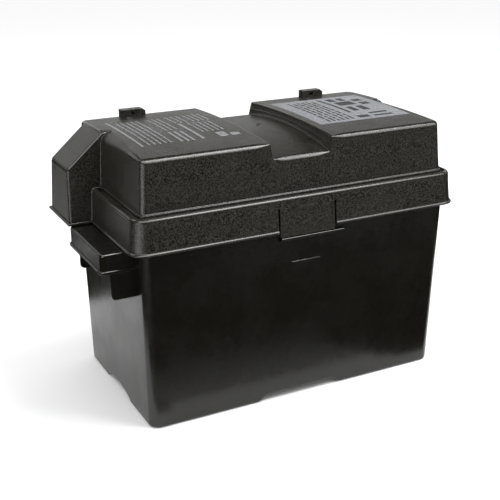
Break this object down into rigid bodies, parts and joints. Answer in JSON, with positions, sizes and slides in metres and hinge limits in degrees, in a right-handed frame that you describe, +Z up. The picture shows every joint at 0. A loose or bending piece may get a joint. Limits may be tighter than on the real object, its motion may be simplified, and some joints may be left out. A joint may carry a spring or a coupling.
{
  "type": "battery box with deep cycle battery",
  "caption": "Snap-top battery box with strap channel, cable hoods and carrying handles, holding a flooded deep cycle battery for a caravan or RV.",
  "frame": {"origin": "on the floor, under the middle of the tub", "axes": "+Z up, +X along the box, -Y towards its front; the cable hoods are on both ends, towards +Y, the left handle is towards -Y and the right one towards +Y"},
  "size_m": [0.4304, 0.2148, 0.2928],
  "materials": {
    "lid_plastic": "fine matt grain",
    "tub_plastic": "satin moulded",
    "case_plastic": "satin moulded",
    "cover_plastic": "satin moulded",
    "cap_plastic": "satin moulded",
    "lead": "dull cast lead",
    "positive_paste": "brown oxide paste on a lead grid",
    "negative_paste": "grey sponge lead on a lead grid",
    "separator_sheet": "porous sheet",
    "steel": "machined"
  },
  "bodies": {
    "base": {"battery_box_tub": "tub_plastic", "battery_case": "case_plastic", "battery_cover": "cover_plastic", "cell_1_positive_plates": "positive_paste", "cell_1_negative_plates": "negative_paste", "cell_1_separators": "separator_sheet", "cell_2_positive_plates": "positive_paste", "cell_2_negative_plates": "negative_paste", "cell_2_separators": "separator_sheet", "cell_3_positive_plates": "positive_paste", "cell_3_negative_plates": "negative_paste", "cell_3_separators": "separator_sheet", "cell_4_positive_plates": "positive_paste", "cell_4_negative_plates": "negative_paste", "cell_4_separators": "separator_sheet", "cell_5_positive_plates": "positive_paste", "cell_5_negative_plates": "negative_paste", "cell_5_separators": "separator_sheet", "cell_6_positive_plates": "positive_paste", "cell_6_negative_plates": "negative_paste", "cell_6_separators": "separator_sheet", "intercell_weld_1": "lead", "intercell_weld_2": "lead", "intercell_weld_3": "lead", "intercell_weld_4": "lead", "intercell_weld_5": "lead", "positive_post": "lead", "positive_stud": "steel", "positive_washer": "steel", "negative_post": "lead", "negative_stud": "steel", "negative_washer": "steel"},
    "lid": {"battery_box_lid": "lid_plastic"},
    "front_snap_tab": {"front_snap_tab": "lid_plastic"},
    "back_snap_tab": {"back_snap_tab": "lid_plastic"},
    "left_vent_cap": {"left_vent_cap": "cap_plastic"},
    "right_vent_cap": {"right_vent_cap": "cap_plastic"},
    "positive_wing_nut": {"positive_wing_nut": "steel"},
    "negative_wing_nut": {"negative_wing_nut": "steel"}
  },
  "joints": [
    {"name": "lid_lift", "type": "slide", "parent": "base", "child": "lid", "axis": [0, 0, 1], "range_m": [0, 0.15]},
    {"name": "front_tab_bend", "type": "hinge", "parent": "lid", "child": "front_snap_tab", "pos_m": [0, -0.10357, 0.217], "axis": [-1, 0, 0], "range_deg": [0, 8], "stiffness_Nm_per_rad": 1},
    {"name": "back_tab_bend", "type": "hinge", "parent": "lid", "child": "back_snap_tab", "pos_m": [0, 0.10357, 0.217], "axis": [1, 0, 0], "range_deg": [0, 8], "stiffness_Nm_per_rad": 1},
    {"name": "left_vent_cap_pull", "type": "slide", "parent": "base", "child": "left_vent_cap", "axis": [0, 0, 1], "range_m": [0, 0.025]},
    {"name": "right_vent_cap_pull", "type": "slide", "parent": "base", "child": "right_vent_cap", "axis": [0, 0, 1], "range_m": [0, 0.025]},
    {"name": "positive_wing_nut_turn", "type": "hinge", "parent": "base", "child": "positive_wing_nut", "pos_m": [-0.13562, 0.045, 0.244], "axis": [0, 0, 1], "continuous": true},
    {"name": "negative_wing_nut_turn", "type": "hinge", "parent": "base", "child": "negative_wing_nut", "pos_m": [0.13562, 0.045, 0.244], "axis": [0, 0, 1], "continuous": true}
  ]
}
